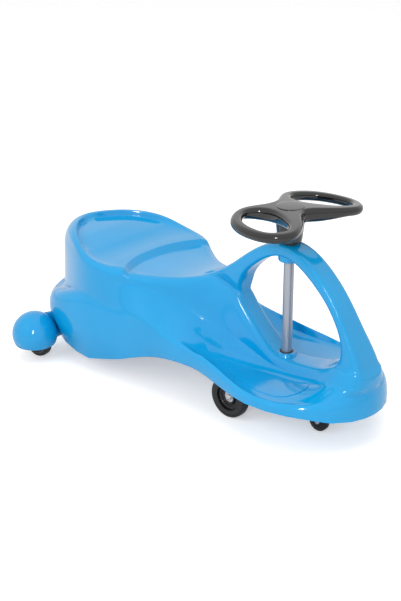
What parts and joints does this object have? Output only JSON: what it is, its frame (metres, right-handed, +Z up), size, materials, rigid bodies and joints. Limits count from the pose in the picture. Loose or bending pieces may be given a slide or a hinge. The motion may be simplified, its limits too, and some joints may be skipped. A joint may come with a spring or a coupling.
{
  "type": "kids ride-on car",
  "caption": "Twist-drive ride-on car: hollow moulded body with seat, foot deck and arch, looped steering wheel on a turning column, wheeled carriage and covered rear wheels.",
  "frame": {"origin": "on the ground below the middle of the car's bounding box", "axes": "+X forward towards the nose, +Y to the rider's left, +Z up"},
  "size_m": [0.7859, 0.4236, 0.4094],
  "materials": {
    "blue_plastic": "glossy moulded plastic",
    "black_plastic": "glossy moulded plastic",
    "tyre_rubber": "smooth black tyre",
    "hub_plastic": "satin moulded plastic",
    "bush_nylon": "plain bearing plastic",
    "column_steel": "satin grey coated tube",
    "zinc_steel": "zinc-plated steel"
  },
  "bodies": {
    "car": {"body_shell": "blue_plastic", "rear_axle_beam": "blue_plastic", "rear_pin_L": "zinc_steel", "rear_pin_R": "zinc_steel", "beam_screw_L": "zinc_steel", "beam_screw_R": "zinc_steel", "upper_bush": "bush_nylon", "lower_bush": "bush_nylon"},
    "steering": {"steering_column": "column_steel", "steering_wheel": "black_plastic", "hub_cap": "black_plastic", "wheel_bolt": "zinc_steel", "thrust_washer": "zinc_steel", "carriage_bracket": "hub_plastic", "carriage_bolt": "zinc_steel", "front_axle": "zinc_steel", "tip_axle": "zinc_steel"},
    "front_wheel_L": {"front_tyre_L": "tyre_rubber", "front_hub_L": "hub_plastic", "front_bearing_L": "zinc_steel"},
    "tip_wheel_L": {"tip_wheel_L": "tyre_rubber"},
    "rear_wheel_L": {"rear_tyre_L": "tyre_rubber", "rear_hub_L": "hub_plastic"},
    "front_wheel_R": {"front_tyre_R": "tyre_rubber", "front_hub_R": "hub_plastic", "front_bearing_R": "zinc_steel"},
    "tip_wheel_R": {"tip_wheel_R": "tyre_rubber"},
    "rear_wheel_R": {"rear_tyre_R": "tyre_rubber", "rear_hub_R": "hub_plastic"}
  },
  "joints": [
    {"name": "steering_turn", "type": "hinge", "parent": "car", "child": "steering", "pos_m": [0.1891, 0, 0.2], "axis": [0, 0, 1], "continuous": true},
    {"name": "front_spin_L", "type": "hinge", "parent": "steering", "child": "front_wheel_L", "pos_m": [0.1275, 0.0872, 0.041], "axis": [0, 1, 0], "continuous": true},
    {"name": "tip_spin_L", "type": "hinge", "parent": "steering", "child": "tip_wheel_L", "pos_m": [0.2882, 0.0223, 0.0236], "axis": [0, 1, 0], "continuous": true},
    {"name": "rear_spin_L", "type": "hinge", "parent": "car", "child": "rear_wheel_L", "pos_m": [-0.3395, 0.157, 0.034], "axis": [0, 1, 0], "continuous": true},
    {"name": "front_spin_R", "type": "hinge", "parent": "steering", "child": "front_wheel_R", "pos_m": [0.1275, -0.0872, 0.041], "axis": [0, 1, 0], "continuous": true},
    {"name": "tip_spin_R", "type": "hinge", "parent": "steering", "child": "tip_wheel_R", "pos_m": [0.2882, -0.0223, 0.0236], "axis": [0, 1, 0], "continuous": true},
    {"name": "rear_spin_R", "type": "hinge", "parent": "car", "child": "rear_wheel_R", "pos_m": [-0.3395, -0.157, 0.034], "axis": [0, 1, 0], "continuous": true}
  ]
}
